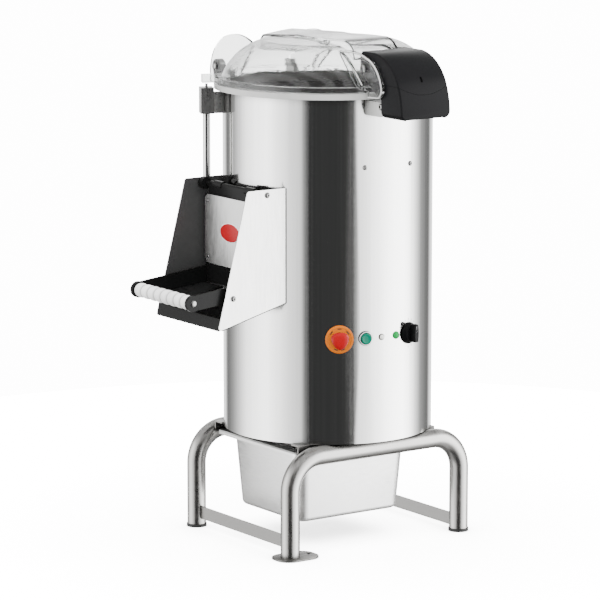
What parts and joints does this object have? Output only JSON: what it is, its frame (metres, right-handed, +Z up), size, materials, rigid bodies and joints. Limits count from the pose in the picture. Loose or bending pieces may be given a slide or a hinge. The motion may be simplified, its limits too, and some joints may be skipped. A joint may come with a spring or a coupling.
{
  "type": "electric potato peeler",
  "caption": "Floor-standing drum peeler on a tube stand, with a hinged clear lid, side discharge chute and door, push buttons, timer knob and a slide-out waste pan.",
  "frame": {"origin": "on the floor, on the drum's vertical axis, midway between the two floor anchor holes", "axes": "+Z up along the drum axis; -X towards the discharge chute; -Y towards the controls and the latch"},
  "size_m": [0.676, 0.6351, 1.0592],
  "materials": {
    "brushed_stainless": "satin brushed",
    "stainless_tube": "satin",
    "steel": "plain",
    "cast_aluminium": "cast",
    "black_plastic": "matt",
    "black_rubber": "matt",
    "rim_rubber": "matt",
    "clear_lid": "clear",
    "white_nylon": "satin",
    "grit": "rough",
    "black_paint": "satin",
    "motor_paint": "satin",
    "yellow_plastic": "gloss",
    "red_plastic": "gloss",
    "green_plastic": "gloss",
    "lamp_lens": "clear",
    "grey_plastic": "matt"
  },
  "bodies": {
    "machine_frame": {"arch_front": "stainless_tube", "arch_rear": "stainless_tube", "crossbars": "brushed_stainless", "rails": "brushed_stainless", "anchor_plates": "brushed_stainless", "foot_caps": "black_rubber", "drum_shell": "brushed_stainless", "base_plate": "steel", "drain_floor": "steel", "drum_rim": "rim_rubber", "abrasive_lining": "grit", "drum_screws": "steel", "bearing_housing": "cast_aluminium", "housing_bolts": "steel", "bearings": "steel", "shaft_seal": "black_rubber", "drive_belt": "black_rubber", "motor_body": "motor_paint", "motor_mount": "steel", "contactor_box": "grey_plastic", "hinge_brackets": "brushed_stainless", "hinge_bolts": "steel", "keeper_bracket": "brushed_stainless", "chute_cheeks": "brushed_stainless", "chute_floor": "brushed_stainless", "outlet_frame": "steel", "door_seal": "black_rubber", "cheek_bolts": "steel", "rod_block": "brushed_stainless", "rod_bracket": "black_paint", "stop_collar": "yellow_plastic", "switch_blocks": "grey_plastic", "start_bezel": "black_plastic", "pilot_lamps": "lamp_lens", "cable_gland": "black_plastic", "water_inlet": "steel"},
    "disc_rotor": {"drive_shaft": "steel", "driven_pulley": "cast_aluminium", "peeling_disc": "cast_aluminium", "disc_grit": "grit", "disc_nut": "steel"},
    "motor_rotor": {"motor_pulley": "cast_aluminium"},
    "lid": {"lid_dome": "clear_lid", "latch_screws": "steel"},
    "hood": {"latch_hood": "black_plastic", "latch_hooks": "steel", "latch_spring": "steel"},
    "door": {"lever_yoke": "black_paint", "door_plate": "brushed_stainless", "door_fasteners": "steel", "door_bar": "black_paint", "door_cam": "black_plastic", "handle_rod": "steel"},
    "grip": {"handle_grip": "white_nylon"},
    "interlock": {"interlock_rod": "steel"},
    "stop_slide": {"stop_stem": "grey_plastic"},
    "stop_twist": {"stop_head": "red_plastic"},
    "start": {"start_button": "green_plastic"},
    "timer": {"timer_knob": "black_plastic"},
    "pan": {"waste_pan": "brushed_stainless"}
  },
  "joints": [
    {"name": "disc_spin", "type": "hinge", "parent": "machine_frame", "child": "disc_rotor", "pos_m": [0, 0, 0.53], "axis": [0, 0, 1], "continuous": true},
    {"name": "motor_spin", "type": "hinge", "parent": "machine_frame", "child": "motor_rotor", "pos_m": [0, 0.13, 0.26], "axis": [0, 0, 1], "continuous": true},
    {"name": "lid_hinge", "type": "hinge", "parent": "machine_frame", "child": "lid", "pos_m": [0, 0.27, 0.97], "axis": [-1, 0, 0], "range_deg": [0, 92]},
    {"name": "latch_hinge", "type": "hinge", "parent": "lid", "child": "hood", "pos_m": [0, -0.226, 1.009], "axis": [-1, 0, 0], "range_deg": [0, 25], "stiffness_Nm_per_rad": 0.5, "springref_deg": -17.19},
    {"name": "door_hinge", "type": "hinge", "parent": "machine_frame", "child": "door", "pos_m": [-0.2328, 0, 0.7503], "axis": [0, 1, 0], "range_deg": [0, 70]},
    {"name": "grip_spin", "type": "hinge", "parent": "door", "child": "grip", "pos_m": [-0.406, 0, 0.542], "axis": [0, 1, 0], "continuous": true},
    {"name": "interlock_slide", "type": "slide", "parent": "machine_frame", "child": "interlock", "axis": [0, 0, 1], "range_m": [0, 0.0065]},
    {"name": "stop_push", "type": "slide", "parent": "machine_frame", "child": "stop_slide", "axis": [-0.4818, -0.8763, 0], "range_m": [-0.005, 0], "stiffness_N_per_m": 600},
    {"name": "stop_release_twist", "type": "hinge", "parent": "stop_slide", "child": "stop_twist", "pos_m": [-0.10599, -0.19279, 0.45], "axis": [-0.4818, -0.8763, 0], "range_deg": [0, 45], "stiffness_Nm_per_rad": 0.04},
    {"name": "start_push", "type": "slide", "parent": "machine_frame", "child": "start", "axis": [-0.2487, -0.9686, 0], "range_m": [-0.004, 0], "stiffness_N_per_m": 500},
    {"name": "timer_turn", "type": "hinge", "parent": "machine_frame", "child": "timer", "pos_m": [0.05471, -0.21309, 0.45], "axis": [0.2487, -0.9686, 0], "range_deg": [-300, 0]},
    {"name": "pan_slide", "type": "slide", "parent": "machine_frame", "child": "pan", "axis": [-1, 0, 0], "range_m": [0, 0.33]}
  ],
  "couplings": [
    {"joint": "motor_spin", "follows": "disc_spin", "ratio": 2.3878},
    {"joint": "interlock_slide", "follows": "door_hinge", "m_per_rad": 0.005}
  ]
}
